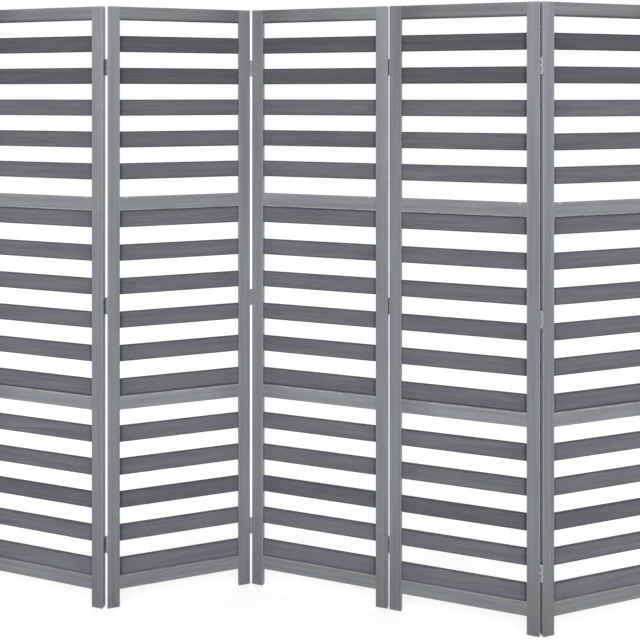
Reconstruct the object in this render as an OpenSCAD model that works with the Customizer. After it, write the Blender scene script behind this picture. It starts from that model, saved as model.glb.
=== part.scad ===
// Slatted folding screen of five panels, in millimetres, +Z up.
// The screen stands on its feet at Z = 0 with its front towards -Y.
// The origin is under the middle of the standing screen's outer box.
// Each panel is built upright about its own middle and then placed in the zigzag.

/* [Screen] */
// Height of the screen
screen_h = 1700; // [1600:10:1850]
// Angle that each standing panel is turned away from the screen's line
fold = 15.5; // [6:0.5:24]

/* [Panel] */
// Width of one panel over its two stiles
panel_w = 407; // [320:1:520]
// Height of the legs under the bottom rail
foot_h = 49; // [20:1:80]
// Height of the opening between the bottom rail and the lower middle rail
lower_bay_h = 470; // [430:5:500]
// Height of the opening between the two middle rails
middle_bay_h = 526; // [490:5:560]
// Height of the gap over the upper middle rail, which is a little wider than the rest
over_rail_gap = 50; // [40:1:56]

/* [Stiles and rails] */
// Width of a stile, seen from the front
stile_w = 34; // [28:1:45]
// Thickness of a stile from front to back
stile_t = 18; // [16:1:26]
// Height of a rail
rail_h = 38; // [30:1:46]
// How far a rail's face lies behind the stile's face
rail_setback = 0.5; // [0.2:0.1:1.5]
// Radius on the long edges of the stiles
stile_arris = 2; // [1:0.5:3]
// Radius on the edges of the stiles' tops and feet
stile_end_arris = 1; // [0.5:0.25:1.5]
// Radius on the long edges of the rails
rail_arris = 2; // [1:0.5:3]

/* [Slats] */
// Height of a slat that stands free between two gaps
slat_h = 46; // [34:1:52]
// Height of a slat that lies against a rail
edge_slat_h = 48; // [34:1:54]
// Thickness of a slat
slat_t = 7; // [5:0.5:9]
// Radius on the long edges of the slats
slat_arris = 1.5; // [0.5:0.5:2]
// Slats in the upper bay, all of them free
upper_slats = 5; // [3:1:5]
// Slats in the middle bay, the first and last against the rails
middle_slats = 6; // [4:1:6]
// Slats in the lower bay, the last against the bottom rail
lower_slats = 5; // [3:1:5]
// Depth that a slat is let into each stile
slat_let = 6; // [4:1:8]

/* [Hinges] */
// Height of a hinge
hinge_h = 46; // [40:1:60]
// Height from either end of a panel to the nearest hinge's middle
hinge_inset = 172; // [140:2:220]
// Reach of a hinge leaf across the stile's edge
leaf_w = 12; // [11:0.5:13]
// Thickness of a hinge leaf
leaf_t = 1.3; // [1.2:0.1:1.6]
// Diameter of a hinge pin
pin_d = 2.5; // [2:0.5:3]

/* [Hidden] */
PANEL_PIECES = ["left_stile", "right_stile", "top_rail", "upper_middle_rail",
    "lower_middle_rail", "bottom_rail", "slats", "dowels", "hinge_screws"];
JOINT_PIECES = ["left_hinge_leaves", "right_hinge_leaves", "hinge_pins"];
// Which way each panel is turned, from left to right
TURNS = [-1, 1, -1, -1, 1];
panel_count = len(TURNS);
joint_count = panel_count - 1;
middle_panel = 3;
function panel_node(n, piece) = str("panel_", n, "_", piece);
function joint_node(j, piece) = str("joint_", j, "_", piece);

$fn = 48;
// How far one solid runs past another where it cuts or joins it
over = 0.1;

// Colours of the stained frame, the darker slats, the dowels and the metal
frame_colour = "#83868a";
slat_colour = "#66696e";
dowel_colour = "#c9a878";
steel_colour = "#8d8f92";

// Room round a slat's end in its slot and past its tip
slat_fit = 0.15;
slat_tip = 0.4;
// Dowels that pin the rails to the stiles, two in each joint
dowel_d = 6;
dowel_rise = 9;
dowel_in_stile = 14;
dowel_in_rail = 20;
dowel_fit = 0.05;
// Room past the end of a dowel or a screw
hole_tip = 0.4;

// Height of the pin's middle over the panel's face, and the room left at a closed joint
pin_proud = 0.6;
fold_clear = 0.3;
// Wall of a knuckle round its pin, and the room between a knuckle and the stiles' edges
knuckle_wall = 1;
edge_clear = 0.35;

// Hinge knuckles, pin and screws
knuckles = 5;
knuckle_gap = 0.4;
knuckle_h = (hinge_h - (knuckles - 1) * knuckle_gap) / knuckles;
knuckle_r = pin_d / 2 + knuckle_wall;
knuckle_clear = 0.4;
web_t = 2.2;
pin_fit = 0.05;
pin_head_d = pin_d + 1.4;
pin_head_h = 1;
screw_back = 8;
screw_rise = 13;
screw_d = 3;
screw_head_d = 5.4;
screw_length = 16;
screw_fit = 0.05;
cross_w = 0.8;
cross_l = 3;
cross_deep = 0.6;

// Heights of the rails' lower edges and of the bays between them
bottom_rail_z = foot_h;
lower_bay_z = bottom_rail_z + rail_h;
lower_middle_rail_z = lower_bay_z + lower_bay_h;
middle_bay_z = lower_middle_rail_z + rail_h;
upper_middle_rail_z = middle_bay_z + middle_bay_h;
upper_bay_z = upper_middle_rail_z + rail_h;
top_rail_z = screen_h - rail_h;
RAIL_HEIGHTS = [bottom_rail_z, lower_middle_rail_z, upper_middle_rail_z, top_rail_z];
HINGE_HEIGHTS = [hinge_inset, screen_h / 2, screen_h - hinge_inset];

// Places inside one panel
stile_middle_x = (panel_w - stile_w) / 2;
rail_l = panel_w - 2 * stile_w;
rail_t = stile_t - 2 * rail_setback;
slat_l = rail_l + 2 * slat_let;

// Middle heights of free slats spaced evenly between the heights low and high
function spread(low, high, count) =
    let (gap = (high - low - count * slat_h) / (count + 1))
    [for (i = [1 : count]) low + i * (gap + slat_h) - slat_h / 2];
// The same, with the first slat standing on height low
function spread_from(low, high, count) =
    [low + slat_h / 2, each spread(low + slat_h, high, count - 1)];

// Free slats, as middle heights
FREE_SLATS = concat(
    spread(lower_bay_z + edge_slat_h, lower_middle_rail_z, lower_slats - 1),
    spread(middle_bay_z + edge_slat_h, upper_middle_rail_z - edge_slat_h, middle_slats - 2),
    spread_from(upper_bay_z + over_rail_gap, top_rail_z, upper_slats));
// Slats against a rail, as middle heights
EDGE_SLATS = [lower_bay_z + edge_slat_h / 2, middle_bay_z + edge_slat_h / 2,
    upper_middle_rail_z - edge_slat_h / 2];

// Side of joint j on which its pins lie: 1 is the back and -1 the front
function pin_side(j) = j % 2 == 1 ? 1 : -1;
function pin_y(j) = pin_side(j) * (stile_t / 2 + pin_proud);
function turn(n) = TURNS[n - 1] * fold;
// Half the angle by which the standing panels of joint j lean past flat, if they do
function half_lean(j) = max(0, pin_side(j) * (turn(j) - turn(j + 1)) / 2);
// Half the joint that lets two stiles lean past flat by twice the angle a
function stile_room(a) =
    (stile_arris + (stile_t + pin_proud - stile_arris) * sin(a) + fold_clear) / cos(a) - stile_arris;
// Half the joint that lets two hinge leaves do the same
function leaf_room(a) = leaf_t + (leaf_w * sin(a) + fold_clear) / cos(a);
// Half the width of joint j, and the pin's place across its panels
function half_joint(j) =
    max(stile_room(half_lean(j)), leaf_room(half_lean(j)), knuckle_r + edge_clear);
function pin_x(j) = panel_w / 2 + half_joint(j);
function spun(angle, p) =
    [p.x * cos(angle) - p.y * sin(angle), p.x * sin(angle) + p.y * cos(angle)];

// Middle of panel n and pin of joint j, measured from the middle panel
function loose_middle(n) =
    n == middle_panel ? [0, 0]
    : n < middle_panel ? loose_pin(n) - spun(turn(n), [pin_x(n), pin_y(n)])
    : loose_pin(n - 1) - spun(turn(n), [-pin_x(n - 1), pin_y(n - 1)]);
function loose_pin(j) =
    j < middle_panel ? loose_middle(j + 1) + spun(turn(j + 1), [-pin_x(j), pin_y(j)])
    : loose_middle(j) + spun(turn(j), [pin_x(j), pin_y(j)]);

// Outer box of the standing screen: round stile corners, and knuckles at the pins
CORNERS = [for (n = [1 : panel_count], x = [-1, 1], y = [-1, 1])
    loose_middle(n) + spun(turn(n),
        [x * (panel_w / 2 - stile_arris), y * (stile_t / 2 - stile_arris)])];
PINS = [for (j = [1 : joint_count]) loose_pin(j)];
left_end = min([for (p = CORNERS) p.x]) - stile_arris;
right_end = max([for (p = CORNERS) p.x]) + stile_arris;
front_end = min(min([for (p = CORNERS) p.y]) - stile_arris, min([for (p = PINS) p.y]) - knuckle_r);
back_end = max(max([for (p = CORNERS) p.y]) + stile_arris, max([for (p = PINS) p.y]) + knuckle_r);
box_middle = [(left_end + right_end) / 2, (front_end + back_end) / 2];
function middle(n) = loose_middle(n) - box_middle;
function pin_place(j) = loose_pin(j) - box_middle;

// Rectangle of size w by h with round corners, about the origin
module rounded_rect(w, h, r) {
    square([w - 2 * r, h], center = true);
    square([w, h - 2 * r], center = true);
    for (x = [-1, 1], y = [-1, 1])
        translate([x * (w / 2 - r), y * (h / 2 - r)])
            circle(r);
}

// Round-edged board of length l along X, about the origin
module board(l, t, h, r) {
    rotate([90, 0, 90])
        linear_extrude(l, center = true)
            rounded_rect(t, h, r);
}

// Sets its children, drawn for a stile's right edge, at the panel's left or right edge
module at_edge(end) {
    if (end < 0)
        mirror([1, 0, 0]) children();
    else
        children();
}

// Slot or slat end, at a slat's middle height
module slat_slot(z, h) {
    translate([0, 0, z])
        board(slat_l + 2 * slat_tip, slat_t + 2 * slat_fit, h + 2 * slat_fit, slat_arris + slat_fit);
}

// Dowels of the joint at the panel's right end of a rail, or their holes
module rail_dowels(z, fit, tip) {
    for (rise = [-dowel_rise, dowel_rise])
        translate([rail_l / 2 - dowel_in_rail - tip, 0, z + rail_h / 2 + rise])
            rotate([0, 90, 0])
                cylinder(h = dowel_in_rail + dowel_in_stile + 2 * tip, d = dowel_d + 2 * fit);
}

// Countersunk screw at a right edge, its head flush with the leaf; fit makes it the hole
module screw_body(fit) {
    head_h = (screw_head_d - screw_d) / 2;
    translate([panel_w / 2 + leaf_t, 0, 0])
        rotate([0, -90, 0]) {
            cylinder(h = head_h, d1 = screw_head_d + 2 * fit, d2 = screw_d + 2 * fit);
            cylinder(h = screw_length + (fit > 0 ? hole_tip : 0), d = screw_d + 2 * fit);
        }
}

// Places of the two screws of each hinge on joint j's edge
module at_screws(j) {
    for (z = HINGE_HEIGHTS, rise = [-screw_rise, screw_rise])
        translate([0, pin_y(j) - pin_side(j) * screw_back, z + rise])
            children();
}

// Joint at a panel's left (-1) or right (1) end; 0 is an open end without hinges
function joint_at(n, end) =
    end < 0 ? n - 1 : (n < panel_count ? n : 0);

// Stile about the Z axis, before its slots and holes are cut
module stile_blank() {
    intersection() {
        linear_extrude(screen_h)
            rounded_rect(stile_w, stile_t, stile_arris);
        translate([0, 0, screen_h / 2]) {
            rotate([90, 0, 0])
                linear_extrude(stile_t + over, center = true)
                    rounded_rect(stile_w, screen_h, stile_end_arris);
            rotate([90, 0, 90])
                linear_extrude(stile_w + over, center = true)
                    rounded_rect(stile_t, screen_h, stile_end_arris);
        }
    }
}

module stile(n, end) {
    color(frame_colour)
        difference() {
            translate([end * stile_middle_x, 0, 0])
                stile_blank();
            for (z = FREE_SLATS)
                slat_slot(z, slat_h);
            for (z = EDGE_SLATS)
                slat_slot(z, edge_slat_h);
            at_edge(end) {
                for (z = RAIL_HEIGHTS)
                    rail_dowels(z, dowel_fit, hole_tip);
                if (joint_at(n, end) > 0)
                    at_screws(joint_at(n, end))
                        screw_body(screw_fit);
            }
        }
}

module rail(z) {
    color(frame_colour)
        difference() {
            translate([0, 0, z + rail_h / 2])
                board(rail_l, rail_t, rail_h, rail_arris);
            for (end = [-1, 1])
                at_edge(end)
                    rail_dowels(z, dowel_fit, hole_tip);
        }
}

module slats() {
    color(slat_colour) {
        for (z = FREE_SLATS)
            translate([0, 0, z])
                board(slat_l, slat_t, slat_h, slat_arris);
        for (z = EDGE_SLATS)
            translate([0, 0, z])
                board(slat_l, slat_t, edge_slat_h, slat_arris);
    }
}

module dowels() {
    color(dowel_colour)
        for (z = RAIL_HEIGHTS, end = [-1, 1])
            at_edge(end)
                rail_dowels(z, 0, 0);
}

module hinge_screws(n) {
    color(steel_colour)
        for (end = [-1, 1])
            if (joint_at(n, end) > 0)
                at_edge(end)
                    at_screws(joint_at(n, end))
                        difference() {
                            screw_body(0);
                            translate([panel_w / 2 + leaf_t, 0, 0])
                                for (across = [[cross_w, cross_l], [cross_l, cross_w]])
                                    cube([2 * cross_deep, across.x, across.y], center = true);
                        }
}

// Height of the underside of knuckle k, counted from 0 at the hinge's foot
function knuckle_z(k) = -hinge_h / 2 + k * (knuckle_h + knuckle_gap);

// One leaf on a right edge, about its hinge's middle height; first is its lowest knuckle
module hinge_leaf(j, first) {
    side = pin_side(j);
    face_y = stile_t / 2;
    plate_w = leaf_w - pin_proud;
    other = 1 - first;
    difference() {
        union() {
            translate([panel_w / 2, side * (face_y - plate_w / 2) - plate_w / 2, -hinge_h / 2])
                cube([leaf_t, plate_w, hinge_h]);
            for (k = [first : 2 : knuckles - 1])
                translate([0, 0, knuckle_z(k)]) {
                    translate([pin_x(j), pin_y(j), 0])
                        cylinder(h = knuckle_h, r = knuckle_r);
                    translate([panel_w / 2, side * (face_y - web_t / 2) - web_t / 2, 0])
                        cube([half_joint(j), web_t, knuckle_h]);
                }
        }
        translate([pin_x(j), pin_y(j), -hinge_h])
            cylinder(h = 2 * hinge_h, d = pin_d + 2 * pin_fit);
        for (k = [other : 2 : knuckles - 1])
            translate([pin_x(j), pin_y(j), knuckle_z(k) - knuckle_gap])
                cylinder(h = knuckle_h + 2 * knuckle_gap, r = knuckle_r + knuckle_clear);
        for (rise = [-screw_rise, screw_rise])
            translate([0, pin_y(j) - side * screw_back, rise])
                screw_body(screw_fit);
    }
}

// The three leaves of joint j on one panel: end 1 is the left panel's right edge
module hinge_leaves(j, end) {
    color(steel_colour)
        at_edge(end)
            for (z = HINGE_HEIGHTS)
                translate([0, 0, z])
                    hinge_leaf(j, end > 0 ? 0 : 1);
}

// The three pins of joint j, each with a small head at both ends
module hinge_pins(j) {
    color(steel_colour)
        for (z = HINGE_HEIGHTS)
            translate([pin_x(j), pin_y(j), z]) {
                cylinder(h = hinge_h, d = pin_d, center = true);
                for (way = [-1, 1])
                    translate([0, 0, way * (hinge_h + pin_head_h) / 2])
                        cylinder(h = pin_head_h, d = pin_head_d, center = true);
            }
}

// Sets its children, drawn for an upright panel, where panel n stands
module in_panel(n) {
    translate([middle(n).x, middle(n).y, 0])
        rotate([0, 0, turn(n)])
            children();
}

module panel_piece(n, piece) {
    in_panel(n) {
        if (piece == "left_stile") stile(n, -1);
        if (piece == "right_stile") stile(n, 1);
        if (piece == "top_rail") rail(top_rail_z);
        if (piece == "upper_middle_rail") rail(upper_middle_rail_z);
        if (piece == "lower_middle_rail") rail(lower_middle_rail_z);
        if (piece == "bottom_rail") rail(bottom_rail_z);
        if (piece == "slats") slats();
        if (piece == "dowels") dowels();
        if (piece == "hinge_screws") hinge_screws(n);
    }
}

module joint_piece(j, piece) {
    if (piece == "left_hinge_leaves") in_panel(j) hinge_leaves(j, 1);
    if (piece == "right_hinge_leaves") in_panel(j + 1) hinge_leaves(j, -1);
    if (piece == "hinge_pins") in_panel(j) hinge_pins(j);
}

for (n = [1 : panel_count], piece = PANEL_PIECES)
    panel_piece(n, piece);
for (j = [1 : joint_count], piece = JOINT_PIECES)
    joint_piece(j, piece);
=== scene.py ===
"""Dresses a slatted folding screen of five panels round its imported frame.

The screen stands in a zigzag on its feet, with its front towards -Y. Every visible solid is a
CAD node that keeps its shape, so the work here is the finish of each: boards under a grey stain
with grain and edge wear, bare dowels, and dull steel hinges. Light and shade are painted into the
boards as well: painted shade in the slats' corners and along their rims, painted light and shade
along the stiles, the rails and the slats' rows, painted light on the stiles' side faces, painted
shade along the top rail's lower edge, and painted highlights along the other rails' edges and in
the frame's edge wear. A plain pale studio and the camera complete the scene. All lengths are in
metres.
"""

from __future__ import annotations

import logging
import math
from dataclasses import dataclass, replace
from enum import Enum

import bpy
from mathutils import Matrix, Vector


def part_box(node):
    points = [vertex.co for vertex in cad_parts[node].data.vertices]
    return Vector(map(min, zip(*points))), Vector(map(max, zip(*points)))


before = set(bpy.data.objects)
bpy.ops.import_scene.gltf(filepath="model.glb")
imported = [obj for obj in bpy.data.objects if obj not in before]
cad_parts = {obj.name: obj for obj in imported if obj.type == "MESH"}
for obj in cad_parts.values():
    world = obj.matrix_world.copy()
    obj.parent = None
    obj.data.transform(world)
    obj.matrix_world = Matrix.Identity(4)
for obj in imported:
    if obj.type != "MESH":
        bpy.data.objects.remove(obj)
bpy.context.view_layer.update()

log = logging.getLogger("folding_screen")

Socket = bpy.types.NodeSocket
Colour = tuple[float, float, float]
Sizes = tuple[float, float, float]
Pairs = tuple[tuple[float, float], ...]
# The two ends of a range of numbers, and what each of them becomes.
Span = tuple[float, float, float, float]

WHITE = (1.0, 1.0, 1.0, 1.0)
# Where a Mix node keeps its two colours and its result among its sockets.
MIX_FIRST, MIX_SECOND, MIX_RESULT = 6, 7, 2

STILES = ("left_stile", "right_stile")
RAILS = ("top_rail", "upper_middle_rail", "lower_middle_rail", "bottom_rail")


class GrainRun(Enum):
    """Which way a board's grain runs in its panel."""

    ACROSS = "across"
    UPRIGHT = "upright"


class Stain(Enum):
    """The finishes that a wooden piece can have."""

    FRAME = "grey_stained_frame"
    SLATS = "grey_stained_slats"
    BARE = "bare_dowel_wood"


@dataclass(frozen=True)
class Cells:
    """A noise: its cells in one metre along each axis, its finer layers and their strength."""

    stretch: Sizes
    detail: float = 2.0
    rough: float = 0.5


class Graph:
    """Builds the nodes of one tree, with a short method for each kind in use."""

    def __init__(self, tree: bpy.types.NodeTree) -> None:
        """Keeps the tree that the nodes go into."""
        self.tree = tree

    def add(self, kind: str, **settings: object) -> bpy.types.Node:
        """Adds one node.

        Args:
            kind: The node's type name in Blender.
            settings: Properties to set on it.

        Returns:
            The new node.
        """
        node = self.tree.nodes.new(kind)
        for name, value in settings.items():
            setattr(node, name, value)
        return node

    def feed(self, socket: Socket, value: object) -> None:
        """Links a socket to an output, or sets its value.

        Args:
            socket: The input to fill.
            value: An output socket, or a plain number, vector or colour.
        """
        if isinstance(value, bpy.types.NodeSocket):
            self.tree.links.new(value, socket)
        elif isinstance(value, tuple) and socket.type == "RGBA" and len(value) == 3:
            socket.default_value = (*value, 1.0)
        else:
            socket.default_value = value

    def number(self, operation: str, *values: object, clamp: bool = False) -> Socket:
        """Adds a Math node.

        Args:
            operation: The sum to do.
            values: Its inputs in order, as sockets or numbers.
            clamp: Whether the result is kept between 0 and 1.

        Returns:
            The result.
        """
        node = self.add("ShaderNodeMath", operation=operation, use_clamp=clamp)
        for socket, value in zip(node.inputs, values):
            self.feed(socket, value)
        return node.outputs[0]

    def vector(self, operation: str, *values: object) -> Socket:
        """Adds a Vector Math node.

        Args:
            operation: The sum to do.
            values: Its inputs in order, as sockets or triples.

        Returns:
            The resulting vector.
        """
        node = self.add("ShaderNodeVectorMath", operation=operation)
        for socket, value in zip(node.inputs, values):
            self.feed(socket, value)
        return node.outputs["Vector"]

    def scale(self, vector: object, factor: Socket) -> Socket:
        """Multiplies a vector or a colour by one number.

        Args:
            vector: The vector or colour, as a socket or a triple.
            factor: The number.

        Returns:
            The scaled vector.
        """
        node = self.add("ShaderNodeVectorMath", operation="SCALE")
        self.feed(node.inputs[0], vector)
        self.feed(node.inputs["Scale"], factor)
        return node.outputs["Vector"]

    def length(self, vector: Socket) -> Socket:
        """Measures a vector."""
        node = self.add("ShaderNodeVectorMath", operation="LENGTH")
        self.feed(node.inputs[0], vector)
        return node.outputs["Value"]

    def split(self, vector: Socket) -> list[Socket]:
        """Splits a vector into its three numbers."""
        node = self.add("ShaderNodeSeparateXYZ")
        self.feed(node.inputs[0], vector)
        return list(node.outputs)

    def join(self, x: object, y: object, z: object) -> Socket:
        """Joins three numbers into a vector."""
        node = self.add("ShaderNodeCombineXYZ")
        for socket, value in zip(node.inputs, (x, y, z)):
            self.feed(socket, value)
        return node.outputs[0]

    def noise(self, place: Socket, cells: Cells) -> Socket:
        """Adds a noise that is stretched along a board.

        Args:
            place: Coordinates in metres.
            cells: The noise's cells and layers.

        Returns:
            The noise, from 0 to 1.
        """
        node = self.add("ShaderNodeTexNoise")
        self.feed(node.inputs["Vector"], self.vector("MULTIPLY", place, cells.stretch))
        self.feed(node.inputs["Scale"], 1.0)
        self.feed(node.inputs["Detail"], cells.detail)
        self.feed(node.inputs["Roughness"], cells.rough)
        return node.outputs[0]

    def spread(
        self, value: object, low: object, high: object, to_low: object = 0.0, to_high: object = 1.0
    ) -> Socket:
        """Maps a range of numbers onto another, with soft ends.

        Args:
            value: The number to map.
            low: Where the range starts.
            high: Where the range ends.
            to_low: Result at the start.
            to_high: Result at the end.

        Returns:
            The mapped number.
        """
        node = self.add("ShaderNodeMapRange", interpolation_type="SMOOTHSTEP")
        for socket, given in zip(node.inputs, (value, low, high, to_low, to_high)):
            self.feed(socket, given)
        return node.outputs[0]

    def fade(self, away: object, reach: object, share: float = 1.0) -> Socket:
        """Gives a share that falls softly to nothing.

        Args:
            away: The distance that it falls with.
            reach: The distance from which nothing is left.
            share: What is given where the distance is 0.

        Returns:
            The faded share.
        """
        return self.spread(away, 0.0, reach, share, 0.0)

    def mix(self, share: object, first: object, second: object) -> Socket:
        """Mixes two colours.

        Args:
            share: How much of the second colour, from 0 to 1.
            first: The first colour.
            second: The second colour.

        Returns:
            The mixed colour.
        """
        node = self.add("ShaderNodeMix", data_type="RGBA")
        self.feed(node.inputs["Factor"], share)
        self.feed(node.inputs[MIX_FIRST], first)
        self.feed(node.inputs[MIX_SECOND], second)
        return node.outputs[MIX_RESULT]

    def island(self) -> Socket:
        """Gives a number from 0 to 1 that differs from one loose part of a mesh to the next."""
        return self.add("ShaderNodeNewGeometry").outputs["Random Per Island"]

    def group(self, tree: bpy.types.NodeTree, **values: object) -> bpy.types.Node:
        """Places a node group.

        Args:
            tree: The group's tree.
            values: Its inputs, by name with _ for a space.

        Returns:
            The group's node.
        """
        node = self.add("ShaderNodeGroup")
        node.node_tree = tree
        for name, value in values.items():
            self.feed(node.inputs[name.replace("_", " ")], value)
        return node


def start_group(name: str, takes: dict[str, str], gives: dict[str, str]) -> tuple[Graph, dict, dict]:
    """Starts a shader node group.

    Args:
        name: The group's name.
        takes: Its inputs, as name and kind of socket.
        gives: Its outputs, in the same way.

    Returns:
        The graph to build in, the input sockets by name, and the output sockets by name.
    """
    tree = bpy.data.node_groups.new(name, "ShaderNodeTree")
    for side, sockets in (("INPUT", takes), ("OUTPUT", gives)):
        for label, kind in sockets.items():
            tree.interface.new_socket(name=label, in_out=side, socket_type=f"NodeSocket{kind}")
    graph = Graph(tree)
    inside = graph.add("NodeGroupInput")
    outside = graph.add("NodeGroupOutput")
    return (
        graph,
        {label: inside.outputs[label] for label in takes},
        {label: outside.inputs[label] for label in gives},
    )


@dataclass(frozen=True)
class BoardGrain:
    """Grain of a softwood board under its stain, with X along it: streaks, growth rings and pores."""

    fine: Cells = Cells((9.0, 620.0, 620.0), 3.0, 0.6)
    broad: Cells = Cells((2.2, 105.0, 105.0))
    pore: Cells = Cells((55.0, 1500.0, 1500.0), 1.0)
    patch: Cells = Cells((6.5, 13.0, 13.0), 1.0)
    sway: Cells = Cells((1.1, 7.0, 7.0))
    fine_dark: Span = (0.3, 0.72, 0.0, 0.36)
    broad_dark: Span = (0.32, 0.7, 0.0, 0.40)
    pore_span: Span = (0.64, 0.74, 0.0, 1.0)
    patch_span: Span = (0.42, 0.60, 0.0, 1.0)
    ring_span: Span = (0.1, 0.95, 0.0, 1.0)
    ring_width: float = 0.0042
    ring_wander: float = 0.016
    pith_offset: Sizes = (0.0, 0.030, 0.062)
    ring_dark: float = 0.16
    pore_dark: float = 0.35
    patch_sheen: float = 0.35
    fine_height: float = 0.5
    ring_height: float = 0.2
    pore_height: float = -0.8
    seed_step: Sizes = (3.7, 11.3, 7.9)

    def build(self) -> bpy.types.NodeTree:
        """Builds the group.

        Returns:
            A group whose outputs are Color, Sheen (for the roughness) and Height.
        """
        graph, takes, gives = start_group(
            "board_grain",
            {"Place": "Vector", "Seed": "Float", "Stain": "Color", "Deep": "Color", "Cool": "Color"},
            {"Color": "Color", "Sheen": "Float", "Height": "Float"},
        )
        place = graph.vector("ADD", takes["Place"], graph.scale(self.seed_step, takes["Seed"]))
        fine = graph.noise(place, self.fine)
        broad = graph.noise(place, self.broad)
        pores = graph.spread(graph.noise(place, self.pore), *self.pore_span)
        patches = graph.noise(place, self.patch)
        rings = self.rings(graph, takes["Place"], place)

        streaks = graph.number(
            "ADD", graph.spread(fine, *self.fine_dark), graph.spread(broad, *self.broad_dark)
        )
        dark = graph.number("MULTIPLY_ADD", rings, self.ring_dark, streaks)
        dark = graph.number("MULTIPLY_ADD", pores, self.pore_dark, dark, clamp=True)
        ground = graph.mix(graph.spread(patches, *self.patch_span), takes["Stain"], takes["Cool"])
        graph.feed(gives["Color"], graph.mix(dark, ground, takes["Deep"]))
        sheen = graph.number("MULTIPLY_ADD", patches, self.patch_sheen, streaks, clamp=True)
        graph.feed(gives["Sheen"], sheen)
        raised = graph.number("MULTIPLY", rings, self.ring_height)
        raised = graph.number("MULTIPLY_ADD", fine, self.fine_height, raised)
        graph.feed(gives["Height"], graph.number("MULTIPLY_ADD", pores, self.pore_height, raised))
        return graph.tree

    def rings(self, graph: Graph, board: Socket, place: Socket) -> Socket:
        """Draws growth rings about a pith line that lies outside the board.

        Args:
            graph: The group's graph.
            board: Coordinates about the board's middle.
            place: The same, moved by the seed.

        Returns:
            1 in the late wood of each ring and 0 between.
        """
        sway = graph.noise(place, self.sway)
        _, across, through = graph.split(graph.vector("ADD", board, self.pith_offset))
        reach = graph.number(
            "SQRT",
            graph.number("MULTIPLY_ADD", across, across, graph.number("MULTIPLY", through, through)),
        )
        path = graph.number("MULTIPLY_ADD", sway, self.ring_wander, reach)
        turn = graph.number("MULTIPLY", path, 2.0 * math.pi / self.ring_width)
        return graph.spread(graph.number("SINE", turn), *self.ring_span)


@dataclass(frozen=True)
class EdgeWearAndLight:
    """Marks along a board's edges, told from the board's half sizes: edge wear, painted highlights and
    painted shade.
    """

    cells: Cells = Cells((38.0, 260.0, 260.0), 2.0, 0.6)
    whole_span: Span = (0.36, 0.58, 0.0, 1.0)

    def build(self) -> bpy.types.NodeTree:
        """Builds the group.

        Returns:
            A group whose Mask is 1 on the mark. Breaks is how far the mark is broken up, from 0 to 1.
        """
        graph, takes, gives = start_group(
            "edge_wear_and_painted_light",
            {"Place": "Vector", "Half": "Vector", "Width": "Float", "Breaks": "Float", "Seed": "Float"},
            {"Mask": "Float"},
        )
        inset = graph.vector("SUBTRACT", takes["Half"], graph.vector("ABSOLUTE", takes["Place"]))
        # An edge is near where the second smallest of the three insets is small.
        first, second, third = graph.split(inset)
        near = graph.number("MINIMUM", first, second)
        far = graph.number("MAXIMUM", first, second)
        edge = graph.number("MAXIMUM", near, graph.number("MINIMUM", far, third))
        close = graph.fade(edge, takes["Width"])
        spot = graph.vector("ADD", takes["Place"], graph.join(takes["Seed"], takes["Seed"], 0.0))
        whole = graph.spread(graph.noise(spot, self.cells), *self.whole_span)
        broken = graph.number("MULTIPLY", graph.number("SUBTRACT", 1.0, whole), takes["Breaks"])
        kept = graph.number("SUBTRACT", 1.0, broken)
        graph.feed(gives["Mask"], graph.number("MULTIPLY", close, kept))
        return graph.tree


@dataclass(frozen=True)
class PaintedCornerShade:
    """Painted shade in a corner: darker at the corner, fading out with a ragged edge."""

    cells: Cells = Cells((90.0, 90.0, 90.0))
    wander: float = 0.0016

    def build(self) -> bpy.types.NodeTree:
        """Builds the group.

        Returns:
            A group whose Mask is 1 in the corner and 0 from Reach away.
        """
        graph, takes, gives = start_group(
            "painted_corner_shade",
            {"Place": "Vector", "Away": "Float", "Reach": "Float"},
            {"Mask": "Float"},
        )
        ragged = graph.noise(takes["Place"], self.cells)
        away = graph.number("MULTIPLY_ADD", ragged, self.wander, graph.number("ABSOLUTE", takes["Away"]))
        graph.feed(gives["Mask"], graph.fade(away, takes["Reach"]))
        return graph.tree


@dataclass(frozen=True)
class Bay:
    """One bay of evenly spaced slats: where it starts, one slat's middle height, and their spacing."""

    start: float
    slat: float
    pitch: float


@dataclass(frozen=True)
class SlatRimShade:
    """Painted shade along the upper and lower rims of each slat."""

    half_height: float = 0.023
    bays: tuple[Bay, ...] = (
        Bay(0.0, 0.1120, 0.0936),
        Bay(0.580, 0.6200, 0.0952),
        Bay(1.150, 1.2320, 0.0906),
    )
    plain_below: float = 0.100
    cells: Cells = Cells((24.0, 200.0, 0.0))
    ragged_span: Span = (0.3, 0.7, 0.55, 1.25)

    def build(self) -> bpy.types.NodeTree:
        """Builds the group.

        Returns:
            A group whose Mask is 1 at a slat's rims and 0 from Reach inside them.
        """
        graph, takes, gives = start_group(
            "slat_rim_painted_shade", {"Place": "Vector", "Reach": "Float"}, {"Mask": "Float"}
        )
        _, _, height = graph.split(takes["Place"])
        slat: object = self.bays[0].slat
        pitch: object = self.bays[0].pitch
        for before, bay in zip(self.bays, self.bays[1:]):
            above = graph.number("GREATER_THAN", height, bay.start)
            slat = graph.number("MULTIPLY_ADD", above, bay.slat - before.slat, slat)
            pitch = graph.number("MULTIPLY_ADD", above, bay.pitch - before.pitch, pitch)
        off = graph.number("SUBTRACT", height, slat)
        off = graph.number("PINGPONG", off, graph.number("MULTIPLY", pitch, 0.5))
        inside = graph.number("SUBTRACT", self.half_height, off)
        ragged = graph.spread(graph.noise(takes["Place"], self.cells), *self.ragged_span)
        rim = graph.fade(inside, graph.number("MULTIPLY", takes["Reach"], ragged))
        # Only the rims above plain_below get painted shade; the lowest rim, on the bottom rail, stays
        # plain.
        rim_shaded = graph.number("GREATER_THAN", height, self.plain_below)
        graph.feed(gives["Mask"], graph.number("MULTIPLY", rim, rim_shaded))
        return graph.tree


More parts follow.
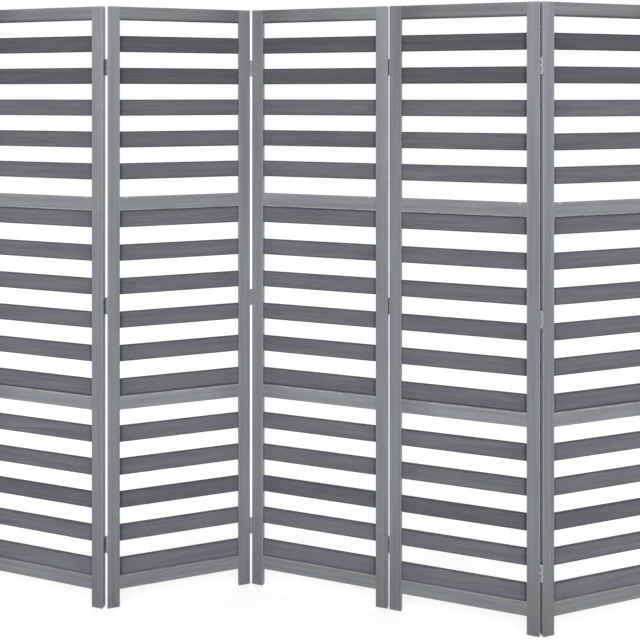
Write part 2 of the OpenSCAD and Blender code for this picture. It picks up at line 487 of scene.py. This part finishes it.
@dataclass(frozen=True)
class PaleSpot:
    """A small pale spot with a ragged edge."""

    cells: Cells = Cells((420.0, 420.0, 420.0))
    wander: float = 0.7
    spot_span: Span = (0.9, 1.4, 1.0, 0.0)

    def build(self) -> bpy.types.NodeTree:
        """Builds the group.

        Returns:
            A group whose Mask is 1 within the spot, which is centred on Spot and has half sizes Size.
        """
        graph, takes, gives = start_group(
            "pale_spot",
            {"Place": "Vector", "Spot": "Vector", "Size": "Vector"},
            {"Mask": "Float"},
        )
        off = graph.vector("SUBTRACT", takes["Place"], takes["Spot"])
        measured = graph.length(graph.vector("DIVIDE", off, takes["Size"]))
        ragged = graph.noise(takes["Place"], self.cells)
        away = graph.number("MULTIPLY_ADD", ragged, self.wander, measured)
        graph.feed(gives["Mask"], graph.spread(away, *self.spot_span))
        return graph.tree


@dataclass(frozen=True)
class PaintedLightRun:
    """Painted light and shade: a slow change of tone from one end of a board to the other."""

    def build(self) -> bpy.types.NodeTree:
        """Builds the group.

        Returns:
            A group whose Tone is a factor for the colour, painting light and shade on it. Along runs from
            -1 to 1.
        """
        graph, takes, gives = start_group(
            "painted_light_run",
            {name: "Float" for name in ("Along", "Start", "Start Hold", "Middle", "End", "End Hold")},
            {"Tone": "Float"},
        )
        tone = takes["Middle"]
        for side, name in ((-1.0, "Start"), (1.0, "End")):
            reach = graph.number("MULTIPLY", takes["Along"], side)
            share = graph.spread(reach, takes[name + " Hold"], 1.0)
            change = graph.number("SUBTRACT", takes[name], takes["Middle"])
            tone = graph.number("MULTIPLY_ADD", share, change, tone)
        graph.feed(gives["Tone"], tone)
        return graph.tree


@dataclass(frozen=True)
class SteelMottle:
    """Dull zinc bloom on rolled steel."""

    bloom: Cells = Cells((260.0, 260.0, 260.0), 3.0, 0.6)
    brush: Cells = Cells((900.0, 900.0, 90.0), 1.0)
    bloom_dark: Span = (0.35, 0.68, 0.0, 0.6)
    brush_dark: float = 0.3

    def build(self) -> bpy.types.NodeTree:
        """Builds the group.

        Returns:
            A group whose outputs are Color, Dull (for the roughness) and Height.
        """
        graph, takes, gives = start_group(
            "steel_mottle",
            {"Place": "Vector", "Bright": "Color", "Dark": "Color"},
            {"Color": "Color", "Dull": "Float", "Height": "Float"},
        )
        bloom = graph.spread(graph.noise(takes["Place"], self.bloom), *self.bloom_dark)
        brush = graph.noise(takes["Place"], self.brush)
        dark = graph.number("MULTIPLY_ADD", brush, self.brush_dark, bloom)
        graph.feed(gives["Color"], graph.mix(dark, takes["Bright"], takes["Dark"]))
        graph.feed(gives["Dull"], dark)
        graph.feed(gives["Height"], brush)
        return graph.tree


@dataclass(frozen=True)
class Effects:
    """The node groups that the finishes share."""

    grain: bpy.types.NodeTree
    edges: bpy.types.NodeTree
    corners: bpy.types.NodeTree
    rims: bpy.types.NodeTree
    spot_group: bpy.types.NodeTree
    tones: bpy.types.NodeTree
    steel: bpy.types.NodeTree

    @classmethod
    def build(cls) -> Effects:
        """Builds each group once."""
        return cls(
            BoardGrain().build(),
            EdgeWearAndLight().build(),
            PaintedCornerShade().build(),
            SlatRimShade().build(),
            PaleSpot().build(),
            PaintedLightRun().build(),
            SteelMottle().build(),
        )


@dataclass(frozen=True)
class PaintedTones:
    """Painted light and shade on a board: its tone at its start, middle and end, and where each end's
    change begins.
    """

    start: float = 1.0
    middle: float = 1.0
    end: float = 1.0
    start_hold: float = 0.0
    end_hold: float = 0.0

    def swapped(self) -> PaintedTones:
        """Gives the same tones for a board that is laid the other way round."""
        return PaintedTones(self.end, self.middle, self.start, self.end_hold, self.start_hold)


@dataclass(frozen=True)
class Board:
    """Where a board lies, for the grain and the edges of its finish.

    turn is its panel's turn about Z, reach is half of the length that its painted light and shade run
    over, and pale_spots are places measured from its middle.
    """

    middle: Sizes
    turn: float
    half: Sizes
    run: GrainRun
    seed: float
    reach: float = 1.0
    tones: PaintedTones = PaintedTones()
    pale_spots: tuple[Sizes, ...] = ()


def start_material(name: str) -> tuple[bpy.types.Material, Graph, bpy.types.Node]:
    """Starts a material that has one Principled shader.

    Args:
        name: The material's name.

    Returns:
        The material, its graph and its shader.
    """
    material = bpy.data.materials.new(name)
    material.use_nodes = True
    graph = Graph(material.node_tree)
    shader = next(n for n in material.node_tree.nodes if n.type == "BSDF_PRINCIPLED")
    return material, graph, shader


@dataclass(frozen=True)
class Surface:
    """Gloss and relief of a finish: its roughness where smooth and where matt, and its depth."""

    smooth: float
    matt: float
    depth: float

    def lay(
        self, graph: Graph, shader: bpy.types.Node, colour: Socket, dull: Socket, height: Socket
    ) -> None:
        """Gives a shader its colour, roughness and relief.

        Args:
            graph: The material's graph.
            shader: The material's shader.
            colour: The finished colour.
            dull: How dull the surface is, from 0 to 1.
            height: The relief, for the bumps.
        """
        graph.feed(shader.inputs["Base Color"], colour)
        rough = graph.spread(dull, 0.0, 1.0, self.smooth, self.matt)
        graph.feed(shader.inputs["Roughness"], rough)
        bump = graph.add("ShaderNodeBump")
        bump.inputs["Distance"].default_value = self.depth
        graph.feed(bump.inputs["Height"], height)
        graph.feed(shader.inputs["Normal"], bump.outputs[0])


@dataclass(frozen=True)
class Coat:
    """A stain as it is laid on a board.

    The coordinates in own lie about the board's middle, with X across its panel, Y through it
    and Z up.
    """

    graph: Graph
    board: Board
    own: Socket
    effects: Effects

    @classmethod
    def start(cls, graph: Graph, board: Board, effects: Effects) -> Coat:
        """Starts a coat.

        Args:
            graph: The material's graph.
            board: The board.
            effects: The shared node groups.

        Returns:
            The coat.
        """
        place = graph.add("ShaderNodeMapping", vector_type="TEXTURE")
        graph.feed(place.inputs["Vector"], graph.add("ShaderNodeTexCoord").outputs["Object"])
        graph.feed(place.inputs["Location"], board.middle)
        graph.feed(place.inputs["Rotation"], (0.0, 0.0, board.turn))
        return cls(graph, board, place.outputs[0], effects)

    def along(self) -> Socket:
        """Gives the coordinates with X along the grain."""
        if self.board.run is GrainRun.ACROSS:
            return self.own
        x, y, z = self.graph.split(self.own)
        return self.graph.join(z, y, x)

    def toned(self, colour: Socket) -> Socket:
        """Paints light and shade along a board, by lightening and darkening its colour.

        Args:
            colour: The colour so far.

        Returns:
            The toned colour.
        """
        x, _, z = self.graph.split(self.own)
        lengthwise = z if self.board.run is GrainRun.UPRIGHT else x
        tones = self.board.tones
        run = self.graph.group(
            self.effects.tones,
            Along=self.graph.number("DIVIDE", lengthwise, self.board.reach),
            Start=tones.start,
            Start_Hold=tones.start_hold,
            Middle=tones.middle,
            End=tones.end,
            End_Hold=tones.end_hold,
        )
        return self.graph.scale(colour, run.outputs["Tone"])


@dataclass(frozen=True)
class WoodFinish(Surface):
    """Wood under a stain: its colours, gloss, grain depth and wear, and painted light and shade on its
    edges and side faces.
    """

    stain: Colour
    deep: Colour
    cool: Colour
    mark_colour: Colour
    mark_width: float
    mark_share: float
    mark_breaks: float = 1.0
    side_light_share: float = 0.0
    side_light_reach: float = 0.0016
    seed_spread: float = 5.0
    specular: float = 0.4
    chip_size: Sizes = (0.0046, 0.0030, 0.0030)
    spot_colour: Colour = (0.66, 0.67, 0.69)

    def wear_and_light_on_edges(self, coat: Coat, seed: object, colour: Socket) -> Socket:
        """Marks a board's edges: wear and painted highlights, and on the top rail painted shade.

        Args:
            coat: The coat.
            seed: The board's seed.
            colour: The colour so far.

        Returns:
            The colour with worn edges.
        """
        edges = coat.graph.group(
            coat.effects.edges,
            Place=coat.own,
            Half=coat.board.half,
            Width=self.mark_width,
            Breaks=self.mark_breaks,
            Seed=seed,
        )
        mark_amount = coat.graph.number("MULTIPLY", edges.outputs["Mask"], self.mark_share)
        return coat.graph.mix(mark_amount, colour, self.mark_colour)

    def painted_light_on_sides(self, coat: Coat, colour: Socket) -> Socket:
        """Paints light on a board's two side faces by making their colour paler.

        Args:
            coat: The coat.
            colour: The colour so far.

        Returns:
            The colour with painted light on the side faces.
        """
        face = coat.board.half[0]
        off_middle = coat.graph.number("ABSOLUTE", coat.graph.split(coat.own)[0])
        mark_amount = coat.graph.spread(off_middle, face - self.side_light_reach, face, 0.0, self.side_light_share)
        return coat.graph.mix(mark_amount, colour, self.mark_colour)

    def dress(
        self, name: str, board: Board, effects: Effects, corners: Corners | None = None
    ) -> bpy.types.Material:
        """Builds the finish for one node.

        Args:
            name: The material's name.
            board: The board, or the row of boards, that it covers.
            effects: The shared node groups.
            corners: Where shade is painted on the slats, if anywhere.

        Returns:
            The material.
        """
        material, graph, shader = start_material(name)
        coat = Coat.start(graph, board, effects)
        seed: object = board.seed
        if corners:
            seed = graph.number("MULTIPLY_ADD", graph.island(), self.seed_spread, board.seed)
        grain = graph.group(
            effects.grain,
            Place=coat.along(),
            Seed=seed,
            Stain=self.stain,
            Deep=self.deep,
            Cool=self.cool,
        )
        colour = grain.outputs["Color"]
        # Painted shade in the slats' corners and along their rims, and each row's tone.
        if corners:
            colour = corners.darken(coat, colour, self.deep)
        # Wear and painted highlights along the edges, with painted shade on the top rail.
        colour = self.wear_and_light_on_edges(coat, seed, colour)
        # Painted light on the side faces, against the shade in the joints.
        if self.side_light_share:
            colour = self.painted_light_on_sides(coat, colour)
        # Painted light and shade along the board.
        colour = coat.toned(colour)
        for spot in board.pale_spots:
            spot_group = graph.group(effects.spot_group, Place=coat.own, Spot=spot, Size=self.chip_size)
            colour = graph.mix(spot_group.outputs["Mask"], colour, self.spot_colour)
        shader.inputs["Specular IOR Level"].default_value = self.specular
        self.lay(graph, shader, colour, grain.outputs["Sheen"], grain.outputs["Height"])
        return material


@dataclass(frozen=True)
class Corners:
    """Painted shade on a panel's slats, in the corners against the stiles and the rails, near the stiles
    and along the rims, and the slats' tones.

    rail_shade_lines pairs the height of each line where a slat meets a rail with how dark the painted
    shade there is.
    rows pairs the height where each group of rows starts with its tone, partly painted light and shade.
    """

    half_opening: float
    height: float
    rail_shade_lines: Pairs
    light_side: int
    # Painted shade at the slats' ends: heavier against the stile on the panel's light side.
    near_reach: float = 0.0125
    near_shade_share: float = 0.96
    far_reach: float = 0.006
    far_shade_share: float = 0.55
    # Painted shade along the lines where the slats meet the rails.
    rail_reach: float = 0.0088
    # Painted shade along the slats' rims.
    rim_reach: float = 0.0058
    rim_shade_share: float = 0.70
    # Painted shade over a broad band next to each stile.
    broad_reach: float = 0.075
    broad_shade_share: float = 0.13
    # Partly painted light and shade: lighter in the low rows, where less lamp light falls, and darker in
    # the top rows.
    rows: Pairs = (
        (0.0, 1.18),
        (0.160, 1.12),
        (0.250, 0.88),
        (0.345, 1.08),
        (0.440, 1.10),
        (0.580, 1.03),
        (1.200, 1.00),
        (1.280, 0.87),
        (1.350, 0.94),
        (1.458, 0.66),
        (1.550, 0.60),
    )
    painted_shade_tone: float = 0.34
    unlike: float = 0.07

    def darken(self, coat: Coat, colour: Socket, deep: Colour) -> Socket:
        """Paints shade into a colour in the corners, near the stiles and along the rims, and gives each
        row its tone.

        Args:
            coat: The coat, measured from the foot of the panel's middle line.
            colour: The colour so far.
            deep: The finish's darkest stain.

        Returns:
            The colour with darker corners.
        """
        graph = coat.graph
        across, _, height = graph.split(coat.own)
        # The colour of the painted shade.
        low = tuple(part * self.painted_shade_tone for part in deep)
        from_stile = graph.number("SUBTRACT", self.half_opening, graph.number("ABSOLUTE", across))
        colour = graph.mix(graph.fade(from_stile, self.broad_reach, self.broad_shade_share), colour, low)
        masks = [
            self.painted_shade_line(coat, line, height, self.rail_reach, share) for line, share in self.rail_shade_lines
        ]
        for side, reach, share in (
            (self.light_side, self.near_reach, self.near_shade_share),
            (-self.light_side, self.far_reach, self.far_shade_share),
        ):
            masks.append(self.painted_shade_line(coat, side * self.half_opening, across, reach, share))
        rims = graph.group(coat.effects.rims, Place=coat.own, Reach=self.rim_reach)
        dark = graph.number("MULTIPLY", rims.outputs["Mask"], self.rim_shade_share)
        for mask in masks:
            dark = graph.number("MAXIMUM", dark, mask)
        return self.by_row(graph, height, graph.mix(dark, colour, low))

    def painted_shade_line(self, coat: Coat, line: float, place: Socket, reach: float, share: float) -> Socket:
        """Gives how much shade is painted along one line.

        Args:
            coat: The coat.
            line: Where the line lies across or up the panel.
            place: The coordinate that is measured against it.
            reach: How far the settled stain spreads.
            share: How dark it is at the line.

        Returns:
            The share of the painted shade's colour.
        """
        away = coat.graph.number("SUBTRACT", place, line)
        stain = coat.graph.group(coat.effects.corners, Place=coat.own, Away=away, Reach=reach)
        return coat.graph.number("MULTIPLY", stain.outputs["Mask"], share)

    def by_row(self, graph: Graph, height: Socket, colour: Socket) -> Socket:
        """Gives each row of slats its tone, partly painted light and shade, and each slat a little of its
        own.

        Args:
            graph: The material's graph.
            height: Height over the floor.
            colour: The colour so far.

        Returns:
            The toned colour.
        """
        ramp = graph.add("ShaderNodeValToRGB")
        ramp.color_ramp.interpolation = "CONSTANT"
        stops = ramp.color_ramp.elements
        while len(stops) < len(self.rows):
            stops.new(1.0)
        for stop, (start, tone) in zip(stops, self.rows):
            stop.position = start / self.height
            stop.color = (tone, tone, tone, 1.0)
        graph.feed(ramp.inputs[0], graph.number("DIVIDE", height, self.height))
        own = graph.number("MULTIPLY_ADD", graph.island(), self.unlike, 1.0 - self.unlike / 2)
        return graph.scale(graph.vector("MULTIPLY", colour, ramp.outputs[0]), own)


@dataclass(frozen=True)
class SteelFinish(Surface):
    """Dull zinc-plated steel."""

    smooth: float = 0.34
    matt: float = 0.62
    depth: float = 0.00005
    bright: Colour = (0.52, 0.525, 0.535)
    dark: Colour = (0.24, 0.245, 0.255)
    metal: float = 0.92

    def dress(self, name: str, effects: Effects) -> bpy.types.Material:
        """Builds the finish.

        Args:
            name: The material's name.
            effects: The shared node groups.

        Returns:
            The material.
        """
        material, graph, shader = start_material(name)
        place = graph.add("ShaderNodeTexCoord").outputs["Object"]
        steel = graph.group(effects.steel, Place=place, Bright=self.bright, Dark=self.dark)
        shader.inputs["Metallic"].default_value = self.metal
        self.lay(graph, shader, steel.outputs["Color"], steel.outputs["Dull"], steel.outputs["Height"])
        return material


# Pale colour for edge wear, painted highlights on the rails' edges and painted light on the stiles' side
# faces.
PALE_WEAR_AND_HIGHLIGHT = (0.470, 0.476, 0.484)
# Painted shade along the top rail's lower edge.
PAINTED_SHADE_EDGE = (0.055, 0.057, 0.061)

FINISHES = {
    Stain.FRAME: WoodFinish(
        stain=(0.304, 0.318, 0.326),
        deep=(0.200, 0.205, 0.218),
        cool=(0.294, 0.292, 0.345),
        mark_colour=PALE_WEAR_AND_HIGHLIGHT,
        smooth=0.46,
        matt=0.66,
        depth=0.00025,
        mark_width=0.0036,
        mark_share=0.62,
    ),
    Stain.SLATS: WoodFinish(
        stain=(0.184, 0.194, 0.207),
        deep=(0.112, 0.116, 0.131),
        cool=(0.176, 0.174, 0.223),
        mark_colour=(0.250, 0.258, 0.272),
        smooth=0.48,
        matt=0.68,
        depth=0.00025,
        mark_width=0.0015,
        mark_share=0.3,
    ),
    Stain.BARE: WoodFinish(
        stain=(0.620, 0.440, 0.255),
        deep=(0.420, 0.270, 0.140),
        cool=(0.580, 0.420, 0.250),
        mark_colour=(0.680, 0.520, 0.330),
        smooth=0.55,
        matt=0.75,
        depth=0.00015,
        mark_width=0.0008,
        mark_share=0.4,
    ),
}

# The side of each panel with painted light, -1 for its left and 1 for its right: its stile lighter at the
# top, its rails lighter towards it, and heavier painted shade at its slats' ends.
LIGHT_SIDES = (1, -1, 1, 1, -1)
# Painted light and shade along a stile, from the foot to the top.
PAINTED_LIT_STILE = PaintedTones(start=0.80, start_hold=0.62, middle=1.01, end=1.17)
PAINTED_SHADED_STILE = PaintedTones(start=0.83, start_hold=0.62, middle=1.0, end=0.82, end_hold=0.1)
# Painted light and shade along each rail, from its light side to its dark side.
RAIL_PAINTED_LIGHT = {
    "top_rail": PaintedTones(start=0.95, middle=0.86, end=0.56, end_hold=0.2),
    "upper_middle_rail": PaintedTones(start=1.06, middle=1.08, end=1.08),
    "lower_middle_rail": PaintedTones(start=1.17, middle=1.21, end=0.95, end_hold=0.3),
    "bottom_rail": PaintedTones(start=0.98, middle=1.06, end=0.97),
}


@dataclass(frozen=True)
class PaintedRailEdge:
    """One long edge of a rail that stands out: a painted highlight on most rails, painted shade on the
    top rail.

    side is 1 for the rail's upper edge and -1 for its lower one.
    """

    side: int
    colour: Colour
    width: float
    share: float
    breaks: float = 1.0


# Each rail's marked edge: painted shade on the top rail, painted highlights on the others.
PAINTED_RAIL_EDGES = {
    "top_rail": PaintedRailEdge(-1, PAINTED_SHADE_EDGE, 0.0084, 1.0, 0.25),
    "upper_middle_rail": PaintedRailEdge(-1, PALE_WEAR_AND_HIGHLIGHT, 0.0062, 0.95),
    "lower_middle_rail": PaintedRailEdge(1, PALE_WEAR_AND_HIGHLIGHT, 0.0055, 0.80),
    "bottom_rail": PaintedRailEdge(1, PALE_WEAR_AND_HIGHLIGHT, 0.0050, 0.45),
}


def show_only(node: bpy.types.Object, material: bpy.types.Material) -> None:
    """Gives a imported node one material.

    Args:
        node: The node's object.
        material: Its finish.
    """
    if not node.material_slots:
        node.data.materials.append(material)
    for held in node.material_slots:
        held.material = material


def middle_of(node: str) -> Vector:
    """Gives the middle of a node's box."""
    low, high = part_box(node)
    return (low + high) / 2.0


@dataclass
class Panel:
    """One panel: two stiles, four rails, sixteen slats, and the dowels and screws in them.

    rail_shade_lines pairs the height of each line where a slat meets a rail with how dark the painted
    shade there is.
    past_end takes the ends of rails and slats, which are hidden, out of their finish's edges.
    """

    number: int
    light_side: int
    width: float = 0.407
    height: float = 1.700
    stile_width: float = 0.034
    stile_thickness: float = 0.018
    rail_height: float = 0.038
    rail_thickness: float = 0.017
    slat_thickness: float = 0.007
    rail_shade_lines: Pairs = ((0.087, 0.20), (0.595, 0.78), (1.121, 0.95))
    past_end: float = 0.05
    unmarked: float = 0.004
    # How much painted light the stiles' side faces get.
    side_light: float = 0.6
    spot_inset: float = 0.017
    dowel_half: Sizes = (0.05, 0.05, 1.0)
    dowel_order: int = 8
    panel_seed: float = 1.73
    board_seed: float = 0.41
    slats_seed: float = 2.31
    weld_reach: float = 0.00001

    @property
    def prefix(self) -> str:
        """The start of the panel's node names."""
        return f"panel_{self.number}_"

    @property
    def half_opening(self) -> float:
        """Half of the width between the stiles."""
        return self.width / 2 - self.stile_width

    def turn(self) -> float:
        """Gives how far the panel is turned about Z."""
        across = middle_of(self.prefix + "right_stile") - middle_of(self.prefix + "left_stile")
        return math.atan2(across.y, across.x)

    def foot(self) -> Vector:
        """Gives the point on the floor under the panel's middle."""
        middle = (middle_of(self.prefix + "left_stile") + middle_of(self.prefix + "right_stile")) / 2
        return Vector((middle.x, middle.y, 0.0))

    def tones(self, piece: str) -> PaintedTones:
        """Gives a board's painted light and shade, the lighter towards the panel's light side.

        Args:
            piece: The end of the node's name.

        Returns:
            The tones, or plain ones for a piece with none.
        """
        if piece in RAILS:
            return RAIL_PAINTED_LIGHT[piece] if self.light_side < 0 else RAIL_PAINTED_LIGHT[piece].swapped()
        if piece in STILES:
            light = (piece == "left_stile") == (self.light_side < 0)
            return PAINTED_LIT_STILE if light else PAINTED_SHADED_STILE
        return PaintedTones()

    def board(self, piece: str, half: Sizes, run: GrainRun, order: int) -> Board:
        """Describes one of the panel's boards.

        Args:
            piece: The end of the node's name.
            half: Half sizes across, through and up.
            run: Which way the grain runs.
            order: The board's number in its panel, for its seed.

        Returns:
            The board.
        """
        return Board(
            middle=tuple(middle_of(self.prefix + piece)),
            turn=self.turn(),
            half=half,
            run=run,
            seed=self.number * self.panel_seed + order * self.board_seed,
            reach=self.height / 2 if run is GrainRun.UPRIGHT else self.half_opening,
            tones=self.tones(piece),
            pale_spots=self.pale_spots(piece),
        )

    def pale_spots(self, piece: str) -> tuple[Sizes, ...]:
        """Gives where a board has a small pale spot, measured from its middle.

        Args:
            piece: The end of the node's name.

        Returns:
            The places of the pale spots, on the panel's light side.
        """
        if piece != "upper_middle_rail":
            return ()
        across = self.half_opening - self.spot_inset
        return ((self.light_side * across, -self.rail_thickness / 2, self.rail_height / 2),)

    def marked(self, board: Board, edge: int) -> Board:
        """Keeps the marks of a rail to one long edge, by putting the other out of their reach.

        Args:
            board: The rail.
            edge: 1 for its upper edge and -1 for its lower one.

        Returns:
            The rail with its box moved and grown past the unmarked edge.
        """
        x, y, z = board.middle
        across, through, up = board.half
        lift = -edge * self.unmarked
        return replace(
            board,
            middle=(x, y, z + lift),
            half=(across, through, up + self.unmarked),
            pale_spots=tuple((side, deep, high - lift) for side, deep, high in board.pale_spots),
        )

    def dress(self, effects: Effects) -> None:
        """Dresses the panel's nodes.

        Args:
            effects: The shared node groups.
        """
        for order, piece in enumerate(STILES):
            self.dress_stile(piece, order, effects)
        for order, piece in enumerate(RAILS, start=len(STILES)):
            self.dress_rail(piece, order, effects)
        self.dress_slats(effects)
        dowels = self.board("dowels", self.dowel_half, GrainRun.ACROSS, self.dowel_order)
        self.cover("dowels", FINISHES[Stain.BARE].dress(self.prefix + "dowels", dowels, effects))
        self.cover("hinge_screws", SteelFinish().dress(self.prefix + "hinge_screws", effects))

    def dress_stile(self, piece: str, order: int, effects: Effects) -> None:
        """Dresses a stile, whose side faces get painted light against the shade in the joints.

        Args:
            piece: The end of the node's name.
            order: The stile's number in its panel.
            effects: The shared node groups.
        """
        half = (self.stile_width / 2, self.stile_thickness / 2, self.height / 2)
        board = self.board(piece, half, GrainRun.UPRIGHT, order)
        finish = replace(FINISHES[Stain.FRAME], side_light_share=self.side_light)
        self.cover(piece, finish.dress(self.prefix + piece, board, effects))

    def dress_rail(self, piece: str, order: int, effects: Effects) -> None:
        """Dresses a rail, one of whose long edges has a painted highlight, or on the top rail painted
        shade.

        Args:
            piece: The end of the node's name.
            order: The rail's number in its panel.
            effects: The shared node groups.
        """
        half = (self.width / 2 + self.past_end, self.rail_thickness / 2, self.rail_height / 2)
        mark = PAINTED_RAIL_EDGES[piece]
        board = self.marked(self.board(piece, half, GrainRun.ACROSS, order), mark.side)
        finish = replace(
            FINISHES[Stain.FRAME],
            mark_colour=mark.colour,
            mark_width=mark.width,
            mark_share=mark.share,
            mark_breaks=mark.breaks,
        )
        self.cover(piece, finish.dress(self.prefix + piece, board, effects))

    def dress_slats(self, effects: Effects) -> None:
        """Dresses the slats, each with its own grain, with painted shade in their corners and along their
        rims, and with the tone of their row.

        Args:
            effects: The shared node groups.
        """
        slats = Board(
            middle=tuple(self.foot()),
            turn=self.turn(),
            half=(self.half_opening + self.past_end, self.slat_thickness / 2, self.height),
            run=GrainRun.ACROSS,
            seed=self.number * self.slats_seed,
        )
        corners = Corners(self.half_opening, self.height, self.rail_shade_lines, self.light_side)
        finish = FINISHES[Stain.SLATS].dress(self.prefix + "slats", slats, effects, corners)
        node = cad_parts[self.prefix + "slats"]
        weld = node.modifiers.new("join_split_points", "WELD")
        weld.merge_threshold = self.weld_reach
        self.cover("slats", finish)

    def cover(self, piece: str, material: bpy.types.Material) -> None:
        """Puts a finish on one of the panel's nodes and reports it."""
        show_only(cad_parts[self.prefix + piece], material)
        log.info("%s%s dressed", self.prefix, piece)


@dataclass
class HingeJoint:
    """The three hinges between two panels: left leaves, right leaves and pins."""

    number: int
    pieces: tuple[str, ...] = ("left_hinge_leaves", "right_hinge_leaves", "hinge_pins")

    def dress(self, effects: Effects) -> None:
        """Dresses the joint's nodes.

        Args:
            effects: The shared node groups.
        """
        for piece in self.pieces:
            name = f"joint_{self.number}_{piece}"
            show_only(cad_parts[name], SteelFinish().dress(name, effects))
            log.info("%s dressed", name)


@dataclass
class Studio:
    """A plain pale floor, soft daylight all round, and two soft lamps in front."""

    floor_half: float = 9.0
    floor_tone: float = 0.60
    floor_rough: float = 0.9
    floor_lift: float = 0.58
    daylight: float = 0.81
    lamp_place: Sizes = (2.2, -2.5, 2.3)
    lamp_aim: Sizes = (0.4, 0.0, 0.8)
    lamp_size: float = 0.8
    lamp_power: float = 15.0

    def build(self) -> None:
        """Builds the floor, the daylight and the lamps."""
        self.build_floor()
        self.build_daylight()
        for side in (-1.0, 1.0):
            self.build_lamp(side)

    def seen(self, graph: Graph) -> Socket:
        """Gives 1 for the rays that show the background, and 0 for the rest."""
        path = graph.add("ShaderNodeLightPath")
        share = path.outputs["Is Camera Ray"]
        for name in ("Is Glossy Ray", "Is Transmission Ray"):
            share = graph.number("MAXIMUM", share, path.outputs[name])
        return share

    def build_floor(self) -> None:
        """Lays a pale floor that shows white where no shadow falls."""
        reach = self.floor_half
        corners = [(-reach, -reach, 0.0), (reach, -reach, 0.0), (reach, reach, 0.0), (-reach, reach, 0.0)]
        mesh = bpy.data.meshes.new("studio_floor")
        mesh.from_pydata(corners, [], [(0, 1, 2, 3)])
        floor = bpy.data.objects.new("studio_floor", mesh)
        bpy.context.scene.collection.objects.link(floor)
        material, graph, shader = start_material("pale_floor")
        shader.inputs["Base Color"].default_value = (self.floor_tone,) * 3 + (1.0,)
        shader.inputs["Roughness"].default_value = self.floor_rough
        shader.inputs["Specular IOR Level"].default_value = 0.0
        shader.inputs["Emission Color"].default_value = WHITE
        lift = graph.number("MULTIPLY", self.seen(graph), self.floor_lift)
        graph.feed(shader.inputs["Emission Strength"], lift)
        mesh.materials.append(material)
        log.info("floor laid")

    def build_daylight(self) -> None:
        """Sets soft light from all round, seen as white."""
        world = bpy.data.worlds.new("studio_daylight")
        bpy.context.scene.world = world
        world.use_nodes = True
        graph = Graph(world.node_tree)
        sky = next(n for n in world.node_tree.nodes if n.type == "BACKGROUND")
        sky.inputs["Color"].default_value = WHITE
        strength = graph.spread(self.seen(graph), 0.0, 1.0, self.daylight, 1.0)
        graph.feed(sky.inputs["Strength"], strength)
        log.info("daylight set")

    def build_lamp(self, side: float) -> None:
        """Hangs one soft lamp in front of the screen.

        Args:
            side: -1 for the left lamp and 1 for the right one.
        """
        light = bpy.data.lights.new("soft_lamp", "AREA")
        light.size = self.lamp_size
        light.energy = self.lamp_power
        lamp = bpy.data.objects.new("soft_lamp", light)
        lamp.location = (side * self.lamp_place[0], self.lamp_place[1], self.lamp_place[2])
        aim = Vector((side * self.lamp_aim[0], self.lamp_aim[1], self.lamp_aim[2]))
        lamp.rotation_euler = (aim - lamp.location).to_track_quat("-Z", "Y").to_euler()
        lamp.visible_camera = False
        bpy.context.scene.collection.objects.link(lamp)
        log.info("lamp hung on side %+d", int(side))


@dataclass
class CameraView:
    """A level camera at the photograph's height, with the frame shifted down to the feet."""

    place: Sizes = (0.0088, -2.1041, 1.4493)
    lens_mm: float = 41.857
    sensor_mm: float = 36.0
    image_side: int = 640
    horizon_row: float = 95.0
    level: float = 90.0
    far_clip: float = 60.0

    def build(self) -> None:
        """Sets up the camera."""
        data = bpy.data.cameras.new("camera")
        data.sensor_width = self.sensor_mm
        data.lens = self.lens_mm
        data.shift_y = (self.horizon_row - self.image_side / 2) / self.image_side
        data.clip_end = self.far_clip
        camera = bpy.data.objects.new("camera", data)
        camera.location = self.place
        camera.rotation_euler = (math.radians(self.level), 0.0, 0.0)
        bpy.context.scene.collection.objects.link(camera)
        bpy.context.scene.camera = camera
        log.info("camera set")


def main() -> None:
    """Builds the view, the studio and the finish of every panel and hinge."""
    logging.basicConfig(level=logging.INFO, format="%(name)s: %(message)s")
    bpy.context.scene.view_settings.view_transform = "Standard"
    CameraView().build()
    Studio().build()
    effects = Effects.build()
    for number, side in enumerate(LIGHT_SIDES, start=1):
        Panel(number, side).dress(effects)
    for number in range(1, len(LIGHT_SIDES)):
        HingeJoint(number).dress(effects)


if __name__ == "__main__":
    main()
